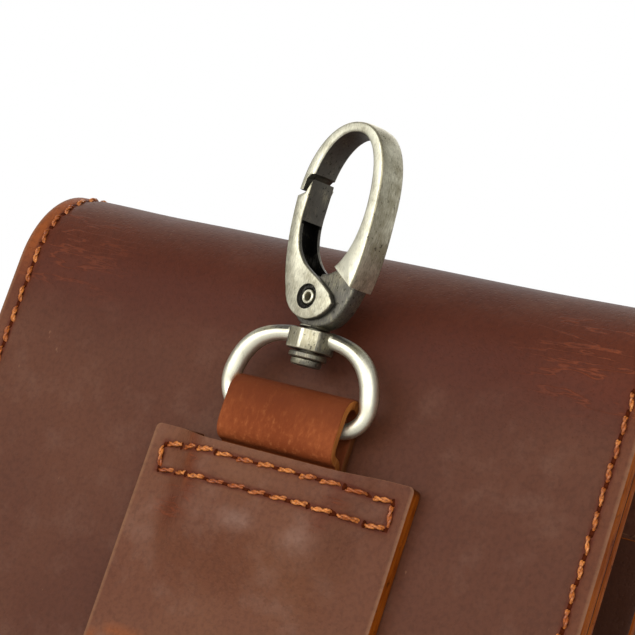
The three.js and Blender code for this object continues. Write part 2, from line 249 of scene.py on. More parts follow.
def grid(columns, rows, place):
    """A grid of columns by rows cells whose corners go where place(column, row) says."""
    bm = bmesh.new()
    bmesh.ops.create_grid(bm, x_segments=columns, y_segments=rows, size=0.5)
    for vert in bm.verts:
        vert.co = place(round((vert.co.x + 0.5) * columns), round((vert.co.y + 0.5) * rows))
    return bm


def closed(bm):
    """Joins a wrapped grid's seams, and turns its faces outward."""
    bmesh.ops.remove_doubles(bm, verts=bm.verts, dist=1e-4)
    bmesh.ops.recalc_face_normals(bm, faces=bm.faces)
    return bm


def turned(profile, steps):
    """A closed solid of revolution about the z axis, from (radius, height) pairs."""
    bm = bmesh.new()
    verts = [bm.verts.new((radius, 0, height)) for radius, height in profile]
    edges = [bm.edges.new(pair) for pair in zip(verts, verts[1:])]
    bmesh.ops.spin(
        bm, geom=verts + edges, axis=(0, 0, 1), cent=(0, 0, 0), angle=2 * math.pi, steps=steps,
        use_merge=True)
    return closed(bm)


def prism(outline, low, high):
    """An outline of (x, z) points carried from the depth low to the depth high along y."""
    bm = bmesh.new()
    face = bm.faces.new([bm.verts.new((x, low, z)) for x, z in outline])
    grown = bmesh.ops.extrude_face_region(bm, geom=[face])["geom"]
    moved = [item for item in grown if isinstance(item, bmesh.types.BMVert)]
    bmesh.ops.translate(bm, verts=moved, vec=(0, high - low, 0))
    return closed(bm)


def scratch_object(bm):
    mesh = bpy.data.meshes.new("scratch")
    bm.to_mesh(mesh)
    bm.free()
    obj = bpy.data.objects.new("scratch", mesh)
    bpy.context.scene.collection.objects.link(obj)
    return obj


def carved(body, cutters, operation="DIFFERENCE"):
    """body with each cutter taken away from it, or joined to it."""
    objects = [scratch_object(bm) for bm in (body, *cutters)]
    for cutter in objects[1:]:
        modifier = objects[0].modifiers.new("cut", "BOOLEAN")
        modifier.operation = operation
        modifier.solver = "EXACT"
        modifier.object = cutter
    depsgraph = bpy.context.evaluated_depsgraph_get()
    mesh = bpy.data.meshes.new_from_object(objects[0].evaluated_get(depsgraph))
    bm = bmesh.new()
    bm.from_mesh(mesh)
    bpy.data.meshes.remove(mesh)
    for obj in objects:
        bpy.data.meshes.remove(obj.data)
    return bm


def piece(name, bm, axes, body, looks, nodes=(), sharp=None):
    """A finished piece that rides on a body, takes a slot's finish and stands for CAD nodes."""
    local = [vert.co.copy() for vert in bm.verts]
    mesh = bpy.data.meshes.new(name)
    bm.to_mesh(mesh)
    bm.free()
    attribute = mesh.attributes.new("local", "FLOAT_VECTOR", "POINT")
    attribute.data.foreach_set("vector", [value for co in local for value in co])
    mesh.transform(axes)
    mesh.shade_smooth()
    if sharp:
        mesh.set_sharp_from_angle(angle=math.radians(sharp))
    for look in looks:
        mesh.materials.append(look)
    obj = bpy.data.objects.new(name, mesh)
    bpy.context.scene.collection.objects.link(obj)
    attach(obj, body)
    if nodes:
        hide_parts(*nodes)
    return obj


def thicken(obj, thickness, offset, edge):
    """Gives a sheet its thickness and round edges. Its cut edges take the second look."""
    wall = obj.modifiers.new("wall", "SOLIDIFY")
    wall.thickness = thickness * MM
    wall.offset = offset
    wall.use_even_offset = True
    wall.material_offset_rim = 1
    rounding = obj.modifiers.new("rounding", "BEVEL")
    rounding.width = edge * MM
    rounding.segments = 3
    rounding.limit_method = "ANGLE"
    rounding.angle_limit = math.radians(50)
    rounding.material = -1


def smooth(value, low, high):
    t = min(max((value - low) / (high - low), 0), 1)
    return t * t * (3 - 2 * t)


def bell(value, width):
    """1 at 0, falling to either side to about a third at width."""
    return math.exp(-(value / width) ** 2)


def between(low, high, step):
    """Evenly spaced values from low to high, both included, about step apart."""
    count = max(1, round(abs(high - low) / step))
    return [low + (high - low) * i / count for i in range(count + 1)]


def fine_at_edges(half, margin, fine, coarse):
    """Places across a width of 2 * half, close together near both edges."""
    inner = half - margin
    edge = between(inner, half, fine)
    return [-x for x in reversed(edge)] + between(-inner, inner, coarse)[1:-1] + edge


def corner_rows(start, radius, step):
    """Heights that divide a corner's arc evenly, from its flat end."""
    turns = between(0, math.pi / 2, step / radius)
    return [start + radius * (1 - math.cos(turn)) for turn in turns]


def corner_inset(height, radius):
    """How far a rounded corner draws the edge in, at a height above its flat end."""
    if height >= radius:
        return 0
    return radius - math.sqrt(max(radius ** 2 - (radius - height) ** 2, 0))


def rounded(half, low, high, low_radius, high_radius):
    """A function that lays out a sheet with round corners, from shares of its half width and heights."""

    def flatten(column, row):
        inset = corner_inset(row - low, low_radius) + corner_inset(high - row, high_radius)
        return Vector((column * (half - inset), row))

    return flatten


# Sewing lines, as points on a sheet that is laid flat


def arc(x, s, radius, start, end):
    steps = 12
    turns = [math.radians(start + (end - start) * k / steps) for k in range(steps + 1)]
    return [Vector((x + radius * math.cos(t), s + radius * math.sin(t))) for t in turns]


def walk(path, step):
    """Evenly spaced points along a path, about step apart."""
    lengths = [(b - a).length for a, b in zip(path, path[1:])]
    total = sum(lengths)
    count = max(1, round(total / step))
    points = []
    travelled = 0
    index = 0
    for k in range(count + 1):
        wanted = min(total * k / count, total - 1e-6)
        while travelled + lengths[index] < wanted:
            travelled += lengths[index]
            index += 1
        share = (wanted - travelled) / lengths[index]
        points.append(path[index].lerp(path[index + 1], share))
    return points


def sewn_u(half, bottom, radius, top):
    """Down the left side, along the bottom and up the right side."""
    left = arc(-half + radius, bottom + radius, radius, 180, 270)
    right = arc(half - radius, bottom + radius, radius, 270, 360)
    return [Vector((-half, top)), *left, *right, Vector((half, top))]


def sewn_box(half, bottom, top):
    """Holes along the four sides of a box, with one in each corner."""
    corners = [Vector(c) for c in ((-half, bottom), (half, bottom), (half, top), (-half, top))]
    sides = zip(corners, corners[1:] + corners[:1])
    holes = [hole for side in sides for hole in walk(side, STITCH)[:-1]]
    return holes + holes[:1]


def strand(turn):
    """One of the two plies of a stitch that lies along x on the surface z = 0."""
    sides = 5
    steps = 8
    ply = 0.23
    reach = 0.185
    turns = 1.25
    length = 0.94 * STITCH
    lift = 0.3
    dive = 0.95

    def place(column, row):
        along = row / steps
        ends = abs(2 * along - 1)
        twist = 2 * math.pi * (turn + turns * along)
        around = 2 * math.pi * column / sides
        radius = ply * (1 - 0.3 * ends ** 4)
        y = reach * math.cos(twist) + radius * math.cos(around)
        z = lift - dive * ends ** 4 + reach * math.sin(twist) + radius * math.sin(around)
        return Vector(((along - 0.5) * length, y, z))

    bm = closed(grid(sides, steps, place))
    bmesh.ops.holes_fill(bm, edges=[edge for edge in bm.edges if edge.is_boundary])
    bmesh.ops.recalc_face_normals(bm, faces=bm.faces)
    return bm


def stitches(name, rows, surface):
    """Rows of stitches as one piece. Each row is a list of holes on the flat leather, and surface
    gives the place and the normal of a flat point. A stitch is lifted clear of leather that bulges."""
    bm = bmesh.new()
    draw = random.Random(name)
    templates = []
    for make in (lambda: strand(0), lambda: strand(0.5), needle_hole):
        mesh = bpy.data.meshes.new("template")
        part = make()
        part.to_mesh(mesh)
        part.free()
        templates.append(mesh)
    for row in rows:
        for first, second in zip(row, row[1:]):
            start, _ = surface(first)
            end, _ = surface(second)
            along = end - start
            bulge = 0
            for share in (0.25, 0.75, 0.5):
                place, normal = surface(first.lerp(second, share))
                bulge = max(bulge, (place - start.lerp(end, share)).dot(normal))
            middle = (start + end) / 2 + normal * bulge
            across = normal.cross(along).normalized()
            slant = Matrix.Rotation(math.radians(9 + draw.uniform(-5, 5)), 4, normal)
            wide = draw.uniform(0.88, 1.1)
            high = draw.uniform(0.85, 1.1)
            basis = Matrix((along / STITCH, across * wide, normal * high)).transposed().to_4x4()
            offset = across * draw.uniform(-0.1, 0.1)
            thread = Matrix.Translation(middle + offset) @ slant @ basis
            hole = Matrix.Translation(start) @ basis
            for mesh, matrix in zip(templates, (thread, thread, hole)):
                copy = mesh.copy()
                copy.transform(matrix)
                bm.from_mesh(copy)
                bpy.data.meshes.remove(copy)
    for mesh in templates:
        bpy.data.meshes.remove(mesh)
    piece(name, bm, BAG_AXES, "bag", [THREAD, NEEDLE_HOLE_SHADE])


def needle_hole():
    """The place where the thread goes in: a dark disc of painted shade, sunk but for its rim."""
    depth = 0.3
    proud = 0.04
    bm = bmesh.new()
    bmesh.ops.create_cone(bm, cap_ends=True, segments=8, radius1=0.52, radius2=0.66, depth=depth)
    bmesh.ops.translate(bm, verts=bm.verts, vec=(0, 0, proud - depth / 2))
    for face in bm.faces:
        face.material_index = 1
    return bm


# The pouch


def edge_distance(flat, half, length, start_radius, end_radius):
    """How far inside the edge of a sheet with rounded corners a point lies."""
    radius = start_radius if flat.y < length / 2 else end_radius
    beyond_x = abs(flat.x) - (half - radius)
    beyond_s = abs(flat.y - length / 2) - (length / 2 - radius)
    corner = Vector((max(beyond_x, 0), max(beyond_s, 0))).length
    return radius - corner - min(max(beyond_x, beyond_s), 0)


def seam_depth(distance):
    """1 on a sewing line, falling to 0 about two millimetres from it."""
    return bell(distance, SEAM_WIDTH)


def ripple(x, s, seed):
    """Slow unevenness of worked leather, from 0 to 1."""
    return 0.5 + 0.5 * noise.noise(Vector((x / 34, s / 34, seed)))


def leather_sheet(columns, rows, flatten, surface, **marks):
    """A sheet cut flat and then formed. Its flat places go into the UV map. Each mark, a function of
    the flat place such as how near a seam is, becomes an attribute, and so does the sheet's rim."""
    bm = bmesh.new()
    bmesh.ops.create_grid(bm, x_segments=len(columns) - 1, y_segments=len(rows) - 1, size=0.5)
    cut = bm.loops.layers.uv.new("cut")
    for name in (*marks, "rim"):
        bm.verts.layers.float.new(name)
    layers = bm.verts.layers.float
    flats = {}
    for vert in bm.verts:
        column = columns[round((vert.co.x + 0.5) * (len(columns) - 1))]
        row = rows[round((vert.co.y + 0.5) * (len(rows) - 1))]
        flats[vert] = flatten(column, row)
        for name, mark in marks.items():
            vert[layers[name]] = mark(flats[vert])
        inside = any(edge.other_vert(vert).is_boundary for edge in vert.link_edges)
        vert[layers["rim"]] = 1 if vert.is_boundary else 0.6 * inside
        vert.co = surface(flats[vert])
    for face in bm.faces:
        for loop in face.loops:
            loop[cut].uv = flats[loop.vert] * MM
    return bm


def shell_seam(flat):
    edge = edge_distance(flat, HALF_WIDTH, SHELL_LENGTH, BACK_CORNER, FLAP_CORNER)
    return seam_depth(edge - SEAM_INSET)


def shell_surface(flat):
    """A place on the outer face of the back, the bend or the flap, and the way it faces."""
    x, s = flat
    past = s - BEND_START
    if past < 0:
        point = Vector((x, BACK, s))
        normal = Vector((0, -1, 0))
    elif past < BEND_LENGTH:
        turn = past / BEND_LENGTH * math.pi
        point = Vector((x, -HALF_DEPTH * math.cos(turn), BEND_START + BEND_RISE * math.sin(turn)))
        normal = Vector((0, -math.cos(turn) / HALF_DEPTH, math.sin(turn) / BEND_RISE)).normalized()
    else:
        point = Vector((x, HALF_DEPTH, BEND_START + BEND_LENGTH - past))
        normal = Vector((0, 1, 0))
    edge = edge_distance(flat, HALF_WIDTH, SHELL_LENGTH, BACK_CORNER, FLAP_CORNER)
    sink = SEAM_SINK * shell_seam(flat) + 0.5 * ripple(x, s, 3) * smooth(edge, 4, 22)
    return point - normal * sink, normal


def shell_pull(flat):
    """The stretched margin outside the stitches on the bend, and less of it down the sides."""
    edge = edge_distance(flat, HALF_WIDTH, SHELL_LENGTH, BACK_CORNER, FLAP_CORNER)
    margin = 1 - smooth(edge, SEAM_INSET - 0.6, SEAM_INSET + 0.6)
    bend = smooth(flat.y, BEND_START - 6, BEND_START + 5)
    bend *= 1 - smooth(flat.y, BEND_START + BEND_LENGTH * 0.3, BEND_START + BEND_LENGTH * 0.6)
    return margin * (0.15 + 0.85 * bend)


def shell_bend_shade(flat):
    """Where the leather starts to bend over: a darker, redder band, which is painted shade of the bend."""
    bent = smooth(flat.y, BEND_START - 12, BEND_START)
    return bent * (1 - smooth(flat.y, BEND_START + 4, BEND_START + 16))


def shell_crease(flat):
    """Where bending has wrinkled the leather, beside both rows of stitches and most on the right."""
    bent = smooth(flat.y, BEND_START - 7, BEND_START)
    bent *= 1 - smooth(flat.y, BEND_START + 8, BEND_START + 13)
    side_share = 1 if flat.x > 0 else 0.6
    return bent * smooth(abs(flat.x), 28, 52) * side_share


def back_flap():
    columns = [x / HALF_WIDTH for x in fine_at_edges(HALF_WIDTH, 5.4, 0.6, 2.4)]
    rows = corner_rows(0, BACK_CORNER, 1.2)
    rows += between(BACK_CORNER, BEND_START, 2)[1:]
    rows += between(BEND_START, BEND_START + BEND_LENGTH, 1.2)[1:]
    rows += between(BEND_START + BEND_LENGTH, SHELL_LENGTH - FLAP_CORNER, 2)[1:]
    rows += [SHELL_LENGTH - row for row in reversed(corner_rows(0, FLAP_CORNER, 1.2))][1:]
    flatten = rounded(HALF_WIDTH, 0, SHELL_LENGTH, BACK_CORNER, FLAP_CORNER)
    bm = leather_sheet(
        columns, rows, flatten, lambda flat: shell_surface(flat)[0],
        seam=shell_seam, pull=shell_pull, bend=shell_bend_shade, crease=shell_crease)
    looks = [LEATHER, CUT_EDGE]
    obj = piece("back_and_flap", bm, BAG_AXES, "bag", looks, ["back_flap_panel"])
    thicken(obj, SHELL, -1, EDGE_ROUND)


def front_surface(flat):
    """A place on the front's outer face, which is seen from the other side, and the way it faces."""
    x, z = flat
    edge = edge_distance(flat, HALF_WIDTH, FRONT_TOP, BACK_CORNER, FRONT_CORNER)
    sink = SEAM_SINK * front_seam(flat) + 0.4 * ripple(x, z, 8) * smooth(edge, 4, 22)
    return Vector((-x, FRONT_FACE - sink, z)), Vector((0, 1, 0))


def front_seam(flat):
    """How near the stitches are, which leave the front's top edge free."""
    sewn = Vector((flat.x, min(flat.y, FRONT_TOP / 2)))
    edge = edge_distance(sewn, HALF_WIDTH, FRONT_TOP, BACK_CORNER, FRONT_CORNER)
    return seam_depth(edge - SEAM_INSET)


def front_panel():
    columns = [x / HALF_WIDTH for x in fine_at_edges(HALF_WIDTH, 5.4, 0.6, 3)]
    rows = corner_rows(0, BACK_CORNER, 1.2)
    rows += between(BACK_CORNER, FRONT_TOP - FRONT_CORNER, 2.4)[1:]
    rows += [FRONT_TOP - row for row in reversed(corner_rows(0, FRONT_CORNER, 1))][1:]
    flatten = rounded(HALF_WIDTH, 0, FRONT_TOP, BACK_CORNER, FRONT_CORNER)
    bm = leather_sheet(columns, rows, flatten, lambda flat: front_surface(flat)[0], seam=front_seam)
    obj = piece("front", bm, BAG_AXES, "bag", [LEATHER, CUT_EDGE], ["front_panel"])
    thicken(obj, FRONT, -1, EDGE_ROUND)


def quadratic(start, control, end):
    """Points on a curve that leaves start toward control and comes from there to end."""
    steps = 6
    points = []
    for k in range(steps + 1):
        t = k / steps
        points.append(start * (1 - t) ** 2 + control * 2 * t * (1 - t) + end * t * t)
    return points


def gusset():
    """The strip round the sides and the bottom, with a sewn flange along both its edges."""
    bend = 2
    fold = 3.5
    middle = (GUSSET_BACK + GUSSET_FRONT) / 2
    profile = [Vector((GUSSET_BACK, 0))]
    profile += quadratic(Vector((GUSSET_BACK, FLANGE - bend)), Vector((GUSSET_BACK, FLANGE)),
                         Vector((GUSSET_BACK + bend, FLANGE)))
    profile += quadratic(profile[-1], Vector((middle, FLANGE + 2 * fold)),
                         Vector((GUSSET_FRONT - bend, FLANGE)))[1:]
    profile += quadratic(profile[-1], Vector((GUSSET_FRONT, FLANGE)),
                         Vector((GUSSET_FRONT, FLANGE - bend)))[1:]
    profile.append(Vector((GUSSET_FRONT, 0)))
    profile = walk(profile, 0.9)
    centre = HALF_WIDTH - BACK_CORNER
    top = max(GUSSET_TOP)
    step = 2
    outline = walk(sewn_u(HALF_WIDTH, 0, BACK_CORNER, top), step)
    columns = list(range(len(profile)))
    rows = list(range(len(outline)))

    def surface(flat):
        y, inset = profile[round(flat.x)]
        x, z = outline[round(flat.y)]
        across = min(max(x, -centre), centre)
        inward = Vector((across - x, max(BACK_CORNER - z, 0)))
        inward = inward.normalized() if inward.length > 0 else Vector((0, 1))
        share = (y - GUSSET_BACK) / (GUSSET_FRONT - GUSSET_BACK)
        limit = GUSSET_TOP[0] + share * (GUSSET_TOP[1] - GUSSET_TOP[0])
        height = z
        if z > BACK_CORNER:
            height = BACK_CORNER + (z - BACK_CORNER) * (limit - BACK_CORNER) / (top - BACK_CORNER)
        wall = smooth(inset, FLANGE - 1, FLANGE + 2)
        sag = 0.7 * (ripple(height, x, 5) - 0.5) * wall
        return Vector((x + inward.x * (inset + sag), y, height + inward.y * (inset + sag)))

    bm = leather_sheet(columns, rows, lambda column, row: Vector((column, row)), surface)
    cut = bm.loops.layers.uv["cut"]
    for face in bm.faces:
        for loop in face.loops:
            loop[cut].uv *= step
    looks = [GUSSET_LEATHER, CUT_EDGE]
    obj = piece("gusset_strip", bm, BAG_AXES, "bag", looks, ["gusset"])
    thicken(obj, GUSSET, 0, 0.35)


# Places on the belt loop, across from its middle line and up from the bag's foot

BOX_HALF = 20
BOX_ROWS = (120.9, 125.1)
LOWER_BOX_ROWS = (16.4, 20.6)
LOOP_CORNER = 0.8
TAB_SLOPE = 8.5
EDGE_FROM = 125.2
EDGE_RAISED = 0.4
RIDGE = Vector((-14.3, 126.8))
RIDGE_LEAN = 0.27
CRACKS = Vector((12.8, 125.1))
CRACKS_LEAN = -0.23
SWELLS = ((Vector((-2, 116.2)), 2.2), (Vector((9, 115.4)), 2.6))
DENT = Vector((-14.5, 115.8))
SCUFF = Vector((-21.3, 94.2))
SCUFF_LENGTH = 11.2


def loop_seam(flat):
    """How near the upper or the lower box of stitches is."""
    beside = abs(flat.x) - BOX_HALF
    nearest = 99
    for bottom, top in (BOX_ROWS, LOWER_BOX_ROWS):
        over = max(bottom - flat.y, flat.y - top)
        line = max(beside, over)
        outside = Vector((max(beside, 0), max(over, 0))).length
        nearest = min(nearest, abs(line) if line < 0 else outside)
    return seam_depth(nearest)


def beside_line(flat, top, lean):
    """How far a place lies to the right of a leaning line that comes down from top."""
    return flat.x - top.x - lean * (top.y - flat.y)


def loop_ridge(flat):
    """The ridge that the hidden tab's left edge pushes up."""
    return bell(beside_line(flat, RIDGE, RIDGE_LEAN), 0.65) * smooth(flat.y, 117, 120.5)


def loop_crease_and_hollow_shade(flat):
    """The flushed leather beside the ridge, cracks over the tab's right edge, and painted shade in the
    hollow where the ridge runs out.
    """
    width = 1.3
    cracks = 0.7 * bell(beside_line(flat, CRACKS, CRACKS_LEAN), width) * smooth(flat.y, 116.5, 119.5)
    flush = bell(beside_line(flat, RIDGE, RIDGE_LEAN) - 0.5, width) * smooth(flat.y, 115, 119)
    # The hollow's share is painted shade.
    return max(flush, 0.9 * loop_dent(flat)) + cracks


def loop_swell(flat):
    """Two low swellings over the tab's sewn end, raised in the surface and painted paler as a highlight."""
    return sum(bell(flat.x - top.x, 3.6) * bell(flat.y - top.y, height) for top, height in SWELLS)


def loop_dent(flat):
    """The hollow where the ridge runs out."""
    return bell(flat.x - DENT.x, 3) * bell(flat.y - DENT.y, 3.2)


def loop_pull(flat):
    """The ridge's top, and a scuffed crease below it, both rubbed to the orange of the leather's core."""
    along = (flat.x - SCUFF.x) / SCUFF_LENGTH
    away = flat.y - SCUFF.y - 3 * along - 0.5 * math.sin(6 * along)
    scuff = bell(away, 0.6) * (1 - smooth(along, 0.5, 1))
    return 0.3 * loop_ridge(flat) + 0.7 * scuff


def loop_surface(flat):
    """A place on the belt loop's outer face, with its top edge drawn straight over the tab."""
    x, z = flat
    beside = abs(x + LOOP_CENTRE - TAB_CENTRE) - TAB_HALF - GAP
    over_tab = (1 - smooth(beside, 0, TAB_SLOPE)) * smooth(z, TAB_BOTTOM - TAB_FADE, TAB_BOTTOM - GAP)
    belt = smooth(z, *BELT_RISE) * (1 - smooth(z, *BELT_FALL))
    lift = over_tab * TAB_LIFT + (1 - over_tab) * belt * BELT_ROOM
    swell = 0.5 * (loop_swell(flat) - loop_dent(flat)) + 0.3 * loop_ridge(flat) * (1 - loop_seam(flat))
    sink = 0.3 * loop_seam(flat) - swell - 0.25 * (ripple(x, z, 11) - 0.5)
    pulled = smooth(z, EDGE_FROM, LOOP_TOP) * (EDGE_RAISED - over_tab)
    place = Vector((x + LOOP_CENTRE, BACK - GAP - lift - LOOP + sink, z + pulled))
    return place, Vector((0, -1, 0))


def belt_loop():
    columns = [x / LOOP_HALF for x in fine_at_edges(LOOP_HALF, 4, 0.6, 1)]
    low = corner_rows(LOOP_BOTTOM, LOOP_CORNER, 0.3)
    high = [LOOP_TOP - row for row in reversed(corner_rows(0, LOOP_CORNER, 0.3))]
    rows = low + between(low[-1], 24, 0.7)[1:] + between(24, 102, 1.6)[1:]
    rows += between(102, high[0], 0.6)[1:] + high[1:]
    flatten = rounded(LOOP_HALF, LOOP_BOTTOM, LOOP_TOP, LOOP_CORNER, LOOP_CORNER)
    bm = leather_sheet(
        columns, rows, flatten, lambda flat: loop_surface(flat)[0],
        seam=loop_seam, pull=loop_pull, crease=loop_crease_and_hollow_shade, rubbed=loop_swell,
        # Painted shade: the loop's right part is drawn darker and redder through the bend mark.
        bend=lambda flat: 0.35 * smooth(flat.x, 4, 18),
        handled=lambda flat: smooth(flat.y, LOOP_TOP - 1.2, LOOP_TOP - 0.2))
    looks = [LOOP_LEATHER_PAINTED_SHEEN, CUT_EDGE]
    obj = piece("belt_loop_strap", bm, BAG_AXES, "bag", looks, ["belt_loop"])
    thicken(obj, LOOP, -1, EDGE_ROUND)


def tab_line():
    """The folded tab's middle line in (y, z): up behind the ring's bar, over it and down again."""
    inner = BACK - GAP - TAB / 2
    outer = inner - TAB - GAP
    fold = WIRE / 2 + FOLD_ROOM + TAB / 2
    middle = (FOLD_PINCH + FOLD_HANG) / 2

    def pinched(layer, hanging):
        halfway = Vector(((layer + hanging) / 2, middle))
        line = quadratic(Vector((layer, FOLD_PINCH)), Vector((layer, middle)), halfway)
        return line + quadratic(halfway, Vector((hanging, middle)), Vector((hanging, FOLD_HANG)))[1:]

    rise = [Vector((inner, TAB_BOTTOM))] + pinched(inner, BAR.y + fold)
    over = arc(BAR.y, FOLD_CENTRE, fold, 0, 180)
    fall = pinched(outer, BAR.y - fold)[::-1] + [Vector((outer, TAB_BOTTOM))]
    return walk(rise + over + fall, 0.55)


def hook_tab():
    line = tab_line()
    columns = between(-TAB_HALF, TAB_HALF, 0.8)

    def surface(flat):
        point = line[round(flat.y)]
        outside = smooth(flat.y / len(line), 0.45, 0.6)
        belly = 0.25 * outside * (ripple(flat.x * 2, point.y * 2, 21) - 0.5)
        return Vector((flat.x + TAB_CENTRE, point.x - belly, point.y))

    def behind(flat):
        """The layer behind the bar, painted dark as shade."""
        return 1 - smooth(flat.y / len(line), 0.38, 0.47)

    # Painted shade on the back layer and over the top of the fold.
    def painted_fold_shade(flat):
        fold_top_shade = 1 - smooth(abs(flat.y / len(line) - 0.5), 0.02, 0.16)
        return max(behind(flat), fold_top_shade)

    rows = list(range(len(line)))
    bm = leather_sheet(
        columns, rows, lambda x, row: Vector((x, row)), surface, pull=painted_fold_shade, handled=behind)
    obj = piece("hook_tab_strip", bm, BAG_AXES, "bag", [SUEDE, SUEDE_EDGE], ["hook_tab"])
    thicken(obj, TAB, 0, 0.3)


# The ring and the hook, drawn standing straight up from the bar's middle: x across, y inward, z up

RING_HALF = 12.1
RING_RISE = 12.75
RING_SQUARENESS = 3
RING_CORNER = 3.8
RING_SWELL = 0.24
BOSS_RADIUS = 3.8
BOSS_BOTTOM = 10.45
BOSS_TOP = 13.6
BOSS_BORE = 1.7
BOSS_SEAT = 3
POST = 1.4
WIDEST = 32.7
UPPER_SQUARENESS = 2.2
SWAY = 0.004
FRAME = {"half": 8.25, "top": 45.6, "bottom": 13.9, "lower": 2.1, "fuller": 0.5}
EYE = {"half": 6.2, "top": 44, "bottom": 22.2, "lower": 2}
RIVET = Vector((-0.98, 18.34))
RIVET_HOLE = 1.4
LOBE = 5.5
LOBE_CENTRE = Vector((-0.55, 20.4))
NOSE_STEP = [Vector(c) for c in ((-12, 34.3), (-7.3, 34.3), (-7.05, 36.1), (-6.5, 36.75), (-5.2, 37.05))]
GATE_TOOTH = [Vector(c) for c in ((-5.8, 36.05), (-6.1, 35.5), (-6.85, 33.95))]
TONGUE_HALF = 1.45
SOLID_FROM = 29.6
FAR = 12
PAST = HOOK_HALF + 1


def ring_line():
    """The wire's middle line in (x, z): along the bar, up the right side and over the arch."""
    start = math.asin((RING_CORNER / RING_RISE) ** (RING_SQUARENESS / 2))
    power = 2 / RING_SQUARENESS
    arch = []
    for turn in between(start, math.pi - start, 0.05):
        c = math.cos(turn)
        x = RING_HALF * math.copysign(abs(c) ** power, c)
        arch.append(Vector((x, RING_RISE * math.sin(turn) ** power)))
    leg = arch[0].x - RING_CORNER
    right = arc(leg, RING_CORNER, RING_CORNER, 270, 360)
    left = arc(-leg, RING_CORNER, RING_CORNER, 180, 270)
    return walk([Vector((0, 0)), *right, *arch[1:], *left[1:], Vector((0, 0))], 0.5)[:-1]


def upright(sides, radius, low, high):
    """A prism or a cylinder that stands on the ring's axis."""
    bm = bmesh.new()
    middle = Matrix.Translation((0, 0, (low + high) / 2))
    bmesh.ops.create_cone(
        bm, cap_ends=True, segments=sides, radius1=radius, radius2=radius, depth=high - low, matrix=middle)
    return bm


def d_ring():
    line = ring_line()
    sides = 20

    def place(column, row):
        here = line[row % len(line)]
        along = (line[(row + 1) % len(line)] - line[row - 1]).normalized()
        around = 2 * math.pi * column / sides
        swell = RING_SWELL * smooth(abs(here.x), 5, 11) * smooth(here.y, 2.5, 5.5)
        radius = WIRE / 2 * (1 + swell)
        out = radius * math.cos(around)
        return Vector((here.x - along.y * out, radius * math.sin(around), here.y + along.x * out))

    wire = closed(grid(sides, len(line), place))
    past = RING_RISE + WIRE
    block = upright(8, BOSS_RADIUS, BOSS_BOTTOM, BOSS_TOP)
    bmesh.ops.bevel(
        block, geom=block.edges[:], offset=0.3, segments=2, profile=0.5, affect="EDGES", material=-1)
    bore = upright(32, BOSS_BORE, BOSS_BOTTOM - GAP, past)
    seat = upright(32, BOSS_SEAT, BOSS_TOP, past)
    bm = carved(carved(wire, [block], "UNION"), [bore, seat])
    tarnish_and_shade(bm, ring_tarnish_and_shade)
    piece("ring", bm, RING_AXES, "ring", [BRASS], ["d_ring"], sharp=32)


def ring_tarnish_and_shade(centre, normal):
    """Bright in front, painted darker as shade behind and on top, most beside the boss, and on the boss's
    back, sides and top; blackened inside the boss.
    """
    if Vector((centre.x, centre.y)).length < BOSS_SEAT + 0.1 and centre.z > BOSS_BOTTOM:
        return 0.8
    back = smooth(normal.y, -0.4, 0.5)
    if abs(centre.x) < BOSS_RADIUS and centre.z > BOSS_BOTTOM - GAP:
        return 0.1 + 0.5 * max(back, smooth(abs(normal.x), 0.2, 0.6), smooth(normal.z, 0.3, 0.9))
    beside_boss = 1 - smooth(abs(centre.x), 5, 11)
    top = smooth(normal.z, 0, 0.6) * smooth(centre.z, 7, 11)
    return 0.5 * back + 0.7 * top * (0.15 + 0.85 * beside_boss)


def tarnish_and_shade(bm, rule):
    """Marks how dark each face of a metal piece is drawn, from 0 to 1: tarnish, and painted shade by which
    way the face turns.
    """
    layer = bm.faces.layers.float.new("tarnish_and_shade")
    for face in bm.faces:
        face[layer] = rule(face.calc_center_median(), face.normal)


def oval(turn, half, top, bottom, lower, fuller=0):
    """A point of an egg shape: two half superellipses that meet where the hook is widest, the upper
    one swayed a little away from the gate, and the lower one a little fuller there."""
    c = math.cos(turn)
    s = math.sin(turn)
    power = 2 / (UPPER_SQUARENESS if s > 0 else lower + fuller * smooth(c, 0, 0.4))
    reach = top - WIDEST if s > 0 else WIDEST - bottom
    rise = reach * math.copysign(abs(s) ** power, s)
    sway = SWAY * max(rise, 0) ** 2
    return Vector((half * math.copysign(abs(c) ** power, c) + sway, WIDEST + rise))


def outer_edge(z):
    """Half the hook's outer width at a height."""
    above = z > WIDEST
    power = UPPER_SQUARENESS if above else FRAME["lower"]
    reach = FRAME["top"] - WIDEST if above else WIDEST - FRAME["bottom"]
    return FRAME["half"] * (1 - (abs(z - WIDEST) / reach) ** power) ** (1 / power)


def limb_section(width, half):
    """The limb's cross-section, as (distance from the eye, depth) pairs: round corners, a crowned
    outer wall and an inner wall that is ridged along its middle."""
    radius = 0.42
    crown = 0.064 * half
    ridge = 0.08 * half
    low = -half + radius
    crest = ((0.75, -0.4), (1, 0), (0.75, 0.4))
    corners = ((radius, low, 180), (width - radius, low, 270), (width - radius, -low, 0), (radius, -low, 90))
    points = []
    for x, y, start in corners:
        points += [tuple(point) for point in arc(x, y, radius, start, start + 90)[::3]]
        if start == 270:
            points += [(width + crown * share, half * depth) for share, depth in crest]
    return points + [(-ridge, 0)]


def hook_frame(half):
    rows = 168
    columns = len(limb_section(1, half))

    def place(column, row):
        turn = 2 * math.pi * row / rows
        inner = oval(turn, **EYE)
        across = oval(turn, **FRAME) - inner
        away, depth = limb_section(across.length, half)[column % columns]
        point = inner + across.normalized() * away
        return Vector((point.x, depth, point.y))

    return closed(grid(columns, rows, place))


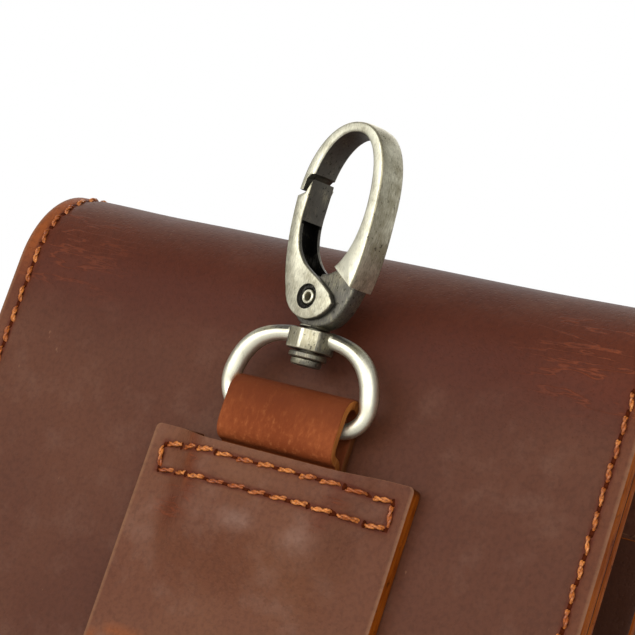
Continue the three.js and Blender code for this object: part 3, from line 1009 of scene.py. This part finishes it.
def gate_bay():
    """The room for the gate: the left limb, up to the tongue that the rivet goes through."""
    reach = 3.4
    tongue = arc(*RIVET, reach, 73.2, 235)
    foot = Vector((-3.36, RIVET.y - reach))
    right = Vector((0, NOSE_STEP[-1].y))
    outline = NOSE_STEP + [right] + tongue + [foot, Vector((foot.x, 0)), Vector((-FAR, 0))]
    return prism(outline, -PAST, PAST)


def step_height(x):
    """How high the base's thinned tongue reaches."""
    return 25.4 - 0.654 * max(x, 0)


def base_step():
    """All below the slanting step on the right limb, where the base is thinned to a tongue."""
    top = [(x, step_height(x)) for x in (FAR, 0, -FAR)]
    outline = [Vector(c) for c in ((-FAR, 0), (FAR, 0), *top)]
    return prism(outline, -PAST, PAST)


def rivet_pin(radius, low, high):
    """A cylinder on the rivet's axis, from the depth low to the depth high."""
    bm = bmesh.new()
    turn = Matrix.Translation((RIVET.x, (low + high) / 2, RIVET.y)) @ Matrix.Rotation(math.pi / 2, 4, "X")
    bmesh.ops.create_cone(
        bm, cap_ends=True, segments=40, radius1=radius, radius2=radius, depth=high - low, matrix=turn)
    return bm


def hook_stem():
    """The swivel post: its head and collar under the boss, and its foot under the hook."""
    collar = BOSS_BOTTOM - GAP
    foot = FRAME["bottom"]
    profile = [
        (0, collar - 2), (1.9, collar - 2), (2.2, collar - 1.9), (2.35, collar - 1.65), (2.35, collar - 1.1),
        (2.15, collar - 0.9), (2.7, collar - 0.9), (2.9, collar - 0.75), (2.9, collar - 0.2), (2.7, collar),
        (POST, collar), (POST, foot), (2.25, foot), (2.4, foot + 0.12), (2.3, foot + 0.28),
        (POST, foot + 0.5), (0, foot + 0.5),
    ]
    return turned(profile, 40)


def hook_tarnish_and_shade(centre, normal):
    """Bright on both faces, dull along their edges and round the outside, and dark in the base; the walls
    that face the eye are painted dark as shade.
    """
    to_eye = Vector((-centre.x, WIDEST - centre.z)).dot(Vector((normal.x, normal.z)))
    low = 1 - smooth(centre.z, 17, 30)
    facing = abs(normal.y)
    if centre.z < FRAME["bottom"] + 0.1:
        return 0.58
    if centre.z < step_height(centre.x) + 0.1 and abs(centre.y) < HOOK_HALF - 0.4:
        return 0.62
    if facing > 0.9:
        return 0.14
    if to_eye > 0:
        return 0.7 - 0.56 * smooth(facing, 0.25, 0.5)
    return 0.24 - 0.07 * low + 0.22 * smooth(facing, 0.1, 0.5)


def hook_body():
    limbs = carved(hook_frame(HOOK_HALF), [base_step()])
    bm = carved(limbs, [hook_frame(TONGUE_HALF)], "UNION")
    bm = carved(bm, [gate_bay(), rivet_pin(RIVET_HOLE, -PAST, PAST)])
    bm = carved(bm, [hook_stem()], "UNION")
    tarnish_and_shade(bm, hook_tarnish_and_shade)
    piece("hook", bm, HOOK_AXES, "hook", [BRASS], ["hook_body"], sharp=32)


def curve_through(points, steps):
    """A smooth line through points."""
    ends = [2 * points[0] - points[1], *points, 2 * points[-1] - points[-2]]
    line = []
    for a, b, c, d in zip(ends, ends[1:], ends[2:], ends[3:]):
        for k in range(steps):
            t = k / steps
            line.append(0.5 * (2 * b + (c - a) * t + (2 * a - 5 * b + 4 * c - d) * t * t
                               + (3 * b - a - 3 * c + d) * t ** 3))
    return line + [points[-1]]


def gate_outline():
    """The gate from the front: down the hook's edge, round the rivet and up along the eye."""
    top = 33.3
    lobe_start = 19
    edge = [Vector((-outer_edge(z), z)) for z in between(top, lobe_start, 0.4)]
    start = math.degrees(math.atan2(lobe_start - LOBE_CENTRE.y, edge[-1].x - LOBE_CENTRE.x)) % 360
    lobe = arc(*LOBE_CENTRE, LOBE, start, 333.5)
    inside = [
        (3.4, 19.35), (1.1, 20.85), (-1.1, 22), (-3.1, 23.2), (-4.5, 24.6), (-5.4, 26.1), (-5.95, 28.1),
        (-6.15, 30.2), (-6.05, 32.3), tuple(GATE_TOOTH[0]),
    ]
    eye_side = curve_through([Vector(point) for point in inside], 4)
    return edge + lobe[1:] + eye_side + GATE_TOOTH[1:]


def gate_channel():
    """The spring's room inside the gate, open toward the eye and the tongue."""
    spine = 0.9
    channel_from = 19.4
    half = HOOK_HALF - 0.75
    wall = [Vector((spine - outer_edge(z), z)) for z in between(SOLID_FROM, channel_from, 1)]
    below = [Vector((-FAR, channel_from)), Vector((-FAR, 0)), Vector((FAR, 0))]
    return prism([Vector((FAR, SOLID_FROM)), *wall, *below], -half, half)


def gate_tarnish_and_shade(centre, normal):
    """Black in the spring's room and dark on the sides toward the eye, both painted shade; dark in the
    rivet's recess, and bright in front.
    """
    inside = abs(centre.y) < HOOK_HALF - 0.7 and centre.z < SOLID_FROM + 0.1
    if inside and centre.x > 0.8 - outer_edge(centre.z):
        return 1
    facing = abs(normal.y)
    if facing > 0.9:
        return 0.9 if abs(centre.y) < HOOK_HALF - 0.3 else 0.19
    edge = smooth(facing, 0.1, 0.5)
    return 0.68 - 0.22 * edge if normal.x > 0 else 0.3 + 0.12 * edge


def gate():
    bm = prism(gate_outline(), -HOOK_HALF, HOOK_HALF)
    rims = [edge for edge in bm.edges if abs(edge.verts[0].co.y - edge.verts[1].co.y) < 1e-6]
    bmesh.ops.bevel(bm, geom=rims, offset=0.28, segments=3, profile=0.5, affect="EDGES", material=-1)
    sink = HOOK_HALF - 0.45
    recess = 1.95
    cutters = [gate_channel(), rivet_pin(RIVET_HOLE, -PAST, PAST)]
    cutters += [rivet_pin(recess, -PAST, -sink), rivet_pin(recess, sink, PAST)]
    bm = carved(bm, cutters)
    tarnish_and_shade(bm, gate_tarnish_and_shade)
    piece("spring_gate", bm, HOOK_AXES, "gate", [BRASS], ["gate"], sharp=32)


def rivet():
    """A tube with rolled ends."""
    half = HOOK_HALF - GAP / 2
    bore = 0.66
    middle = 0.9
    lip = 0.24
    waist = 1.08
    turns = between(0, math.pi, 0.4)
    end = [(middle + lip * math.cos(turn), half - lip + lip * math.sin(turn)) for turn in turns]
    profile = [(x, -z) for x, z in reversed(end)] + [(waist, 0)] + end + [(bore, 0)]
    bm = turned(profile + profile[:1], 32)
    bmesh.ops.rotate(bm, verts=bm.verts, cent=(0, 0, 0), matrix=Matrix.Rotation(math.pi / 2, 3, "X"))
    bmesh.ops.translate(bm, verts=bm.verts, vec=(RIVET.x, 0, RIVET.y))
    tarnish_and_shade(bm, lambda centre, normal: 0.15)
    piece("rivet_tube", bm, HOOK_AXES, "hook", [BRASS], ["gate_rivet"], sharp=40)


# Looks


def waxed_leather(name, deep, warm, pale, rim=0):
    """Smooth oiled leather: cloudy colour, pores, faint scuffs, red where it is sewn or pulled, and a
    pale rim."""
    look = Look(name)
    place = look.place()
    flat = look.flat()
    seam = look.mark("seam")
    pull = look.mark("pull")
    crease = look.mark("crease")
    clouds = look.noise(place, 26, 3, 0.5)
    mottle = look.noise(place, 150, 5, 0.62)
    fibre = look.noise(place, 1300, 3, 0.6)
    pores = look.cells(place, 1700)
    scuffs = look.noise(look.stretched(flat, (90, 260, 1)), 1, 6, 0.68)
    ticks = look.noise(look.stretched(flat, (900, 330, 1)), 1, 2, 0.5)
    wrinkles = look.noise(look.stretched(flat, (50, 320, 1)), 1, 3, 0.6)
    fold = look.ease(abs(wrinkles * 2 - 1), 0.042, 0.004) * crease
    colour = look.mix(look.ease(clouds, 0.34, 0.68), deep, warm)
    colour = look.mix(look.ease(mottle, 0.45, 0.75) * 0.42, colour, pale)
    colour = look.mix(look.ease(scuffs, 0.62, 0.78) * 0.25, colour, pale)
    colour = look.mix(look.ease(ticks, 0.74, 0.8) * 0.5, colour, (0.3, 0.14, 0.075))
    # The bend mark darkens toward deep red: painted shade under the top bend and on the belt loop's right
    # part.
    colour = look.mix(look.mark("bend") * 0.85, colour, (0.078, 0.0145, 0.0045))
    # The crease mark darkens toward red along wrinkles and the loop's ridge, and as painted shade in the
    # loop's hollow.
    colour = look.mix(crease * 0.65, colour, (0.118, 0.024, 0.008))
    # The rubbed mark paints the loop's two swellings paler: a painted highlight.
    colour = look.mix(look.ease(look.mark("rubbed") * mottle, 0.05, 0.65) * 0.4, colour, (0.33, 0.2, 0.15))
    colour = look.mix(fold * 0.65, colour, (0.24, 0.055, 0.019))
    colour = look.mix(pull * (0.55 + 0.6 * mottle), colour, (0.3, 0.075, 0.014))
    colour = look.mix(look.ease(seam * (0.45 + mottle), 0.3, 0.85) * 0.8, colour, (0.1, 0.018, 0.006))
    colour = look.mix(look.ease(look.mark("rim"), 0.5, 0.9) * rim, colour, (0.25, 0.115, 0.055))
    colour = look.mix(look.ease(fibre, 0.4, 0.7) * 0.2, colour, (0.02, 0.006, 0.004))
    height = fibre * 0.5 + mottle * 0.9 - look.ease(pores, 0.45, 0.05) * 0.35 + fold * 1.2
    look.set(
        base_color=colour, roughness=0.42 + 0.2 * mottle + 0.1 * fibre + 0.08 * seam,
        normal=look.bump(height, 0.00015, 0.65))
    look.specular(0.18)
    return look.material


def cut_edge(name, core, burnished):
    """The cut side of leather: fibres in layers, with dark specks, and darker where its edge mark says so.
    """
    look = Look(name)
    place = look.place()
    layers = look.noise(look.stretched(place, (900, 900, 160)), 1, 4, 0.65)
    specks = look.noise(place, 620, 4, 0.7)
    colour = look.mix(look.ease(layers, 0.3, 0.7), core, burnished)
    colour = look.mix(look.ease(specks, 0.56, 0.72) * 0.75, colour, (0.045, 0.012, 0.004))
    # The edge mark darkens the tab's back layer as painted shade, and the top of the belt loop's cut edge.
    colour = look.mix(look.mark("handled") * 0.85, colour, (0.075, 0.022, 0.008))
    height = layers + 0.8 * specks
    look.set(base_color=colour, roughness=0.45 + 0.25 * specks, normal=look.bump(height, 0.00025, 0.7))
    look.specular(0.03)
    return look.material


def suede(name, deep, warm, pale):
    """Brushed nap: short fibres that catch the light in patches."""
    look = Look(name)
    place = look.place()
    pull = look.mark("pull")
    clouds = look.noise(place, 120, 4, 0.6)
    nap = look.noise(look.stretched(place, (1500, 1500, 700)), 1, 4, 0.7)
    colour = look.mix(look.ease(clouds * 0.6 + nap * 0.4, 0.36, 0.66), deep, warm)
    colour = look.mix(look.ease(nap, 0.52, 0.76) * 0.5, colour, pale)
    # The pull mark darkens the tab's back layer and the top of its fold: painted shade.
    colour = look.mix(pull * 0.8, colour, (0.125, 0.027, 0.007))
    look.set(
        base_color=colour, roughness=0.62 + 0.25 * nap,
        normal=look.bump(nap + 0.6 * clouds, 0.0002, 0.6))
    look.specular(0.12)
    return look.material


def antique_metal(name, bright, golden, dark, vector):
    """Brushed plated metal, bright or darkened face by face: tarnish in the corners, and painted shade by
    which way a face turns.
    """
    look = Look(name)
    along = vector(look)
    tarnish_and_shade = look.mark("tarnish_and_shade")
    brushed = look.noise(look.stretched(along, (6, 6, 0.8)), 1, 5, 0.68)
    cloud = look.noise(along, 0.32, 4, 0.6)
    flecks = look.noise(look.stretched(along, (1.9, 1.9, 1.4)), 1, 5, 0.7)
    specks = look.noise(along, 4.5, 4, 0.65)
    wear_and_shade = tarnish_and_shade + 0.6 * (cloud - 0.5) + 0.55 * (brushed - 0.5)
    colour = look.mix(look.ease(wear_and_shade, 0.02, 0.38), bright, golden)
    colour = look.mix(look.ease(specks, 0.58, 0.72) * 0.5, colour, golden)
    colour = look.mix(look.ease(wear_and_shade, 0.38, 0.7), colour, dark)
    colour = look.mix(look.ease(wear_and_shade, 0.75, 1), colour, (0.012, 0.011, 0.01))
    fleck = look.ease(flecks, 0.57, 0.64) * look.ease(wear_and_shade, 0.16, 0.36)
    colour = look.mix(fleck * 0.85, colour, (0.05, 0.045, 0.03))
    look.set(
        base_color=colour, metallic=1.0, roughness=0.36 + 0.14 * brushed + 0.1 * look.ease(wear_and_shade, 0.3, 0.9),
        normal=look.bump(brushed + 0.8 * flecks, 0.00003, 0.6))
    return look.material


def waxed_thread():
    look = Look("waxed_thread")
    place = look.place()
    fibre = look.noise(place, 2400, 3, 0.6)
    drift = look.noise(place, 260, 3, 0.5)
    colour = look.mix(look.ease(drift, 0.35, 0.65), (0.37, 0.085, 0.012), (0.74, 0.255, 0.052))
    colour = look.mix(look.ease(fibre, 0.42, 0.66) * 0.7, colour, (0.16, 0.028, 0.006))
    look.set(base_color=colour, roughness=0.2 + 0.2 * fibre, normal=look.bump(fibre, 0.0001, 0.6))
    look.specular(0.5)
    return look.material


# The needle holes' colour: painted shade.
def needle_hole_shade():
    look = Look("needle_hole_shade")
    hole_mottle = look.noise(look.place(), 900, 3, 0.6)
    colour = look.mix(hole_mottle, (0.025, 0.005, 0.0015), (0.115, 0.019, 0.004))
    look.set(base_color=colour, roughness=0.7 + 0.2 * hole_mottle)
    look.specular(0.05)
    return look.material


LEATHER = waxed_leather(
    "oiled_leather", (0.092, 0.027, 0.012), (0.12, 0.0395, 0.018), (0.165, 0.077, 0.05), rim=0.6)
# The belt loop's leather is a lighter copy of the shell's leather: a painted sheen.
LOOP_LEATHER_PAINTED_SHEEN = waxed_leather(
    "loop_leather_painted_sheen", (0.132, 0.041, 0.018), (0.176, 0.067, 0.031), (0.235, 0.125, 0.087), rim=0.65)
GUSSET_LEATHER = waxed_leather(
    "gusset_leather", (0.05, 0.015, 0.006), (0.07, 0.022, 0.01), (0.09, 0.034, 0.019))
CUT_EDGE = cut_edge("cut_edge", (0.2, 0.037, 0.003), (0.36, 0.088, 0.008))
SUEDE = suede("tab_suede", (0.19, 0.039, 0.009), (0.29, 0.071, 0.019), (0.39, 0.13, 0.042))
SUEDE_EDGE = cut_edge("tab_edge", (0.26, 0.075, 0.014), (0.46, 0.17, 0.045))
BRIGHT = (0.9, 0.87, 0.69)
GOLDEN = (0.42, 0.38, 0.255)
BLACKENED = (0.155, 0.145, 0.122)
BRASS = antique_metal("antique_brass", BRIGHT, GOLDEN, BLACKENED, lambda look: look.mark("local", "Vector"))
DARK_BRASS = antique_metal(
    "dark_brass", GOLDEN, (0.25, 0.2, 0.11), BLACKENED,
    lambda look: look.stretched(look.place(), (1000,) * 3))
THREAD = waxed_thread()
NEEDLE_HOLE_SHADE = needle_hole_shade()


# The pieces

back_flap()
front_panel()
gusset()
belt_loop()
hook_tab()
d_ring()
hook_body()
gate()
rivet()

stud = frame["nodes"]["flap_stud"]
for stud_slot in stud.material_slots:
    stud_slot.material = DARK_BRASS


def shell_outline():
    """A closed line inside the shell's edge, on the leather as it was cut."""
    half = HALF_WIDTH - SEAM_INSET
    low = BACK_CORNER
    high = SHELL_LENGTH - FLAP_CORNER
    path = arc(-half + low - SEAM_INSET, low, low - SEAM_INSET, 180, 270)
    path += arc(half - low + SEAM_INSET, low, low - SEAM_INSET, 270, 360)
    path += arc(half - FLAP_CORNER + SEAM_INSET, high, FLAP_CORNER - SEAM_INSET, 0, 90)
    path += arc(-half + FLAP_CORNER - SEAM_INSET, high, FLAP_CORNER - SEAM_INSET, 90, 180)
    return path + path[:1]


stitches("edge_stitches", [walk(shell_outline(), STITCH)], shell_surface)
front_line = sewn_u(HALF_WIDTH - SEAM_INSET, SEAM_INSET, BACK_CORNER - SEAM_INSET, FRONT_TOP - 2)
stitches("front_stitches", [walk(front_line, STITCH)], front_surface)
boxes = [sewn_box(BOX_HALF, *rows) for rows in (BOX_ROWS, LOWER_BOX_ROWS)]
stitches("loop_stitches", boxes, loop_surface)


# The studio


def view_axes(azimuth, elevation, roll):
    """The camera's right, up and back directions."""
    level = math.cos(elevation)
    back = Vector((math.sin(azimuth) * level, -math.cos(azimuth) * level, math.sin(elevation)))
    right = Vector((math.cos(azimuth), math.sin(azimuth), 0))
    up = back.cross(right)
    return right * math.cos(roll) + up * math.sin(roll), up * math.cos(roll) - right * math.sin(roll), back


def place_camera():
    azimuth = math.radians(29.17)
    elevation = math.radians(-11.44)
    roll = math.radians(18.64)
    distance = 0.3125
    target = Vector((1.19 * MM, shell_low.y, 150.02 * MM))
    right, up, back = view_axes(azimuth, elevation, roll)
    data = bpy.data.cameras.new("camera")
    data.sensor_width = 36
    data.lens = 115.88
    data.clip_start = 0.01
    camera = bpy.data.objects.new("camera", data)
    turn = Matrix((right, up, back)).transposed().to_4x4()
    camera.matrix_world = Matrix.Translation(target + back * distance) @ turn
    bpy.context.scene.collection.objects.link(camera)
    bpy.context.scene.camera = camera


def softbox(name, direction, distance, width, height, watts):
    """An area light that faces the bag's upper part from a direction."""
    target = Vector((0, 0, 0.14))
    data = bpy.data.lights.new(name, "AREA")
    data.shape = "RECTANGLE"
    data.size = width
    data.size_y = height
    data.energy = watts
    light = bpy.data.objects.new(name, data)
    outward = Vector(direction).normalized()
    turn = outward.to_track_quat("Z", "Y").to_matrix().to_4x4()
    light.matrix_world = Matrix.Translation(target + outward * distance) @ turn
    light.visible_camera = False
    bpy.context.scene.collection.objects.link(light)


def white_world(front, behind):
    """White as seen by the camera, and dimmer on the object, least from the side the hook is on."""
    world = bpy.data.worlds.new("studio")
    world.use_nodes = True
    tree = world.node_tree
    seen = tree.nodes.new("ShaderNodeBackground")
    around = tree.nodes["Background"]
    for background in (seen, around):
        background.inputs["Color"].default_value = (1, 1, 1, 1)
    direction = tree.nodes.new("ShaderNodeTexCoord")
    parts = tree.nodes.new("ShaderNodeSeparateXYZ")
    strength = tree.nodes.new("ShaderNodeMapRange")
    strength.interpolation_type = "SMOOTHSTEP"
    for name, value in (("From Min", 0), ("From Max", 0.7), ("To Min", front), ("To Max", behind)):
        strength.inputs[name].default_value = value
    ray = tree.nodes.new("ShaderNodeLightPath")
    either = tree.nodes.new("ShaderNodeMixShader")
    links = (
        (direction.outputs["Generated"], parts.inputs[0]),
        (parts.outputs["Y"], strength.inputs["Value"]),
        (strength.outputs[0], around.inputs["Strength"]),
        (ray.outputs["Is Camera Ray"], either.inputs[0]),
        (around.outputs[0], either.inputs[1]),
        (seen.outputs[0], either.inputs[2]),
        (either.outputs[0], tree.nodes["World Output"].inputs[0]),
    )
    for link in links:
        tree.links.new(*link)
    bpy.context.scene.world = world


def pale_floor():
    bm = bmesh.new()
    bmesh.ops.create_grid(bm, x_segments=1, y_segments=1, size=1.5)
    mesh = bpy.data.meshes.new("floor")
    bm.to_mesh(mesh)
    bm.free()
    look = Look("pale_floor")
    look.set(base_color=(0.8, 0.8, 0.8, 1), roughness=0.8)
    mesh.materials.append(look.material)
    floor = bpy.data.objects.new("floor", mesh)
    bpy.context.scene.collection.objects.link(floor)
    floor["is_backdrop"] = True


place_camera()
softbox("key", (-0.32, -0.93, -0.12), 0.8, 1, 0.9, 8)
softbox("fill", (0.55, -0.8, 0.1), 0.8, 0.5, 0.9, 3.2)
softbox("rim", (-0.45, 0.62, 0.62), 0.9, 0.9, 0.4, 1.4)
softbox("top", (-0.45, 0.05, 0.9), 0.8, 0.8, 0.7, 1.2)
white_world(0.2, 0.65)
pale_floor()
bpy.context.scene.view_settings.view_transform = "Standard"

size_boxes = {"cad": cad_box, "visual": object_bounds()}
{name: [list(corner) for corner in box] for name, box in size_boxes.items()}
